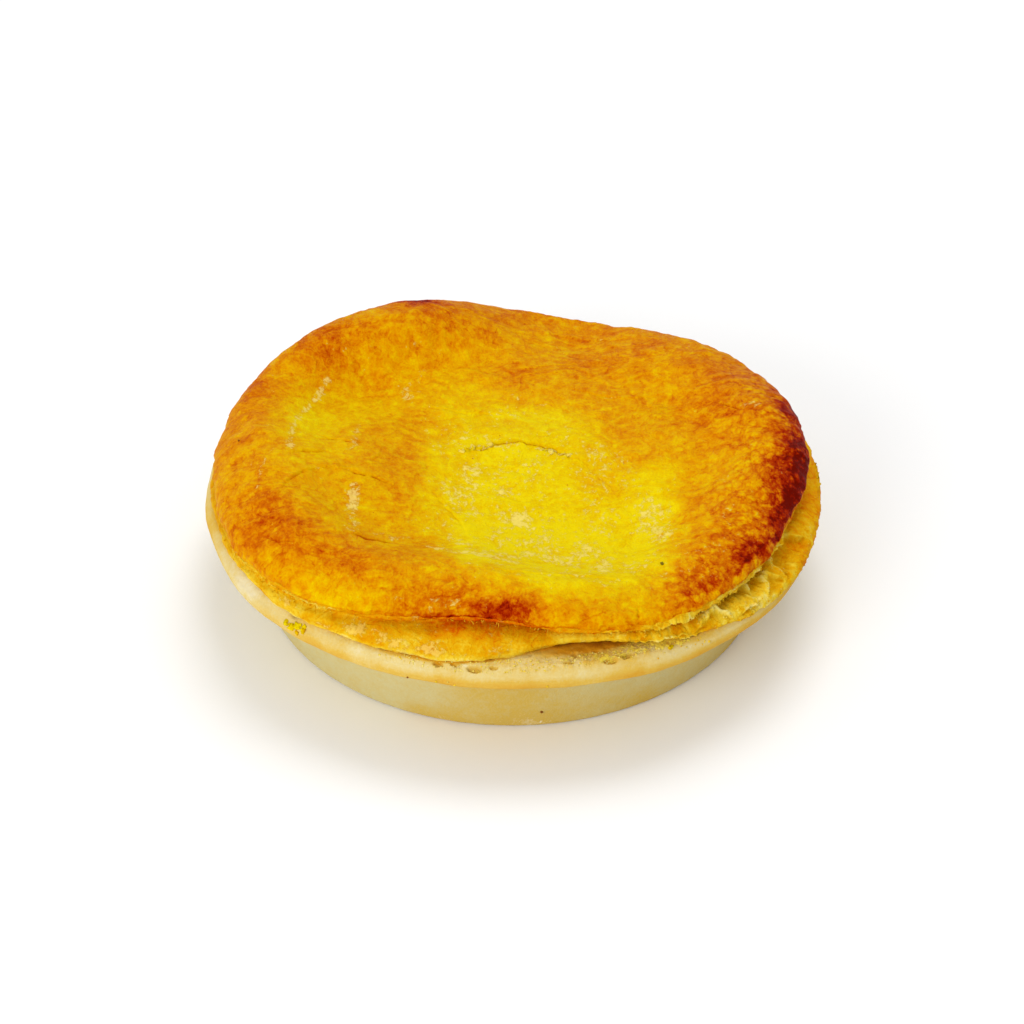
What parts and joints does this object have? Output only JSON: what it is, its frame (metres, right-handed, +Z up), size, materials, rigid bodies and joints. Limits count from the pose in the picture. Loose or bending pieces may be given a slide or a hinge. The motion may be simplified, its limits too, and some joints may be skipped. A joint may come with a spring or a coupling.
{
  "type": "meat pie",
  "caption": "Round single-serve meat pie: a pale sloping shortcrust case with a pressed flange, under a golden, uneven puff pastry lid with a sunken middle.",
  "frame": {"origin": "centre of the flat base that the pie stands on", "axes": "+Z up through the lid; the front, where the lid is set back from the flange, faces -Y; +X to the right of the front view"},
  "size_m": [0.1198, 0.1198, 0.0335],
  "materials": {
    "shortcrust": "baked shortcrust pastry, matt and finely grained, pale on the wall and tan on the flange",
    "puff_pastry": "egg-washed puff pastry, satin, yellow in the middle and browned on the raised ring"
  },
  "bodies": {
    "root": {"shortcrust_case": "shortcrust", "puff_lid": "puff_pastry"}
  },
  "joints": []
}
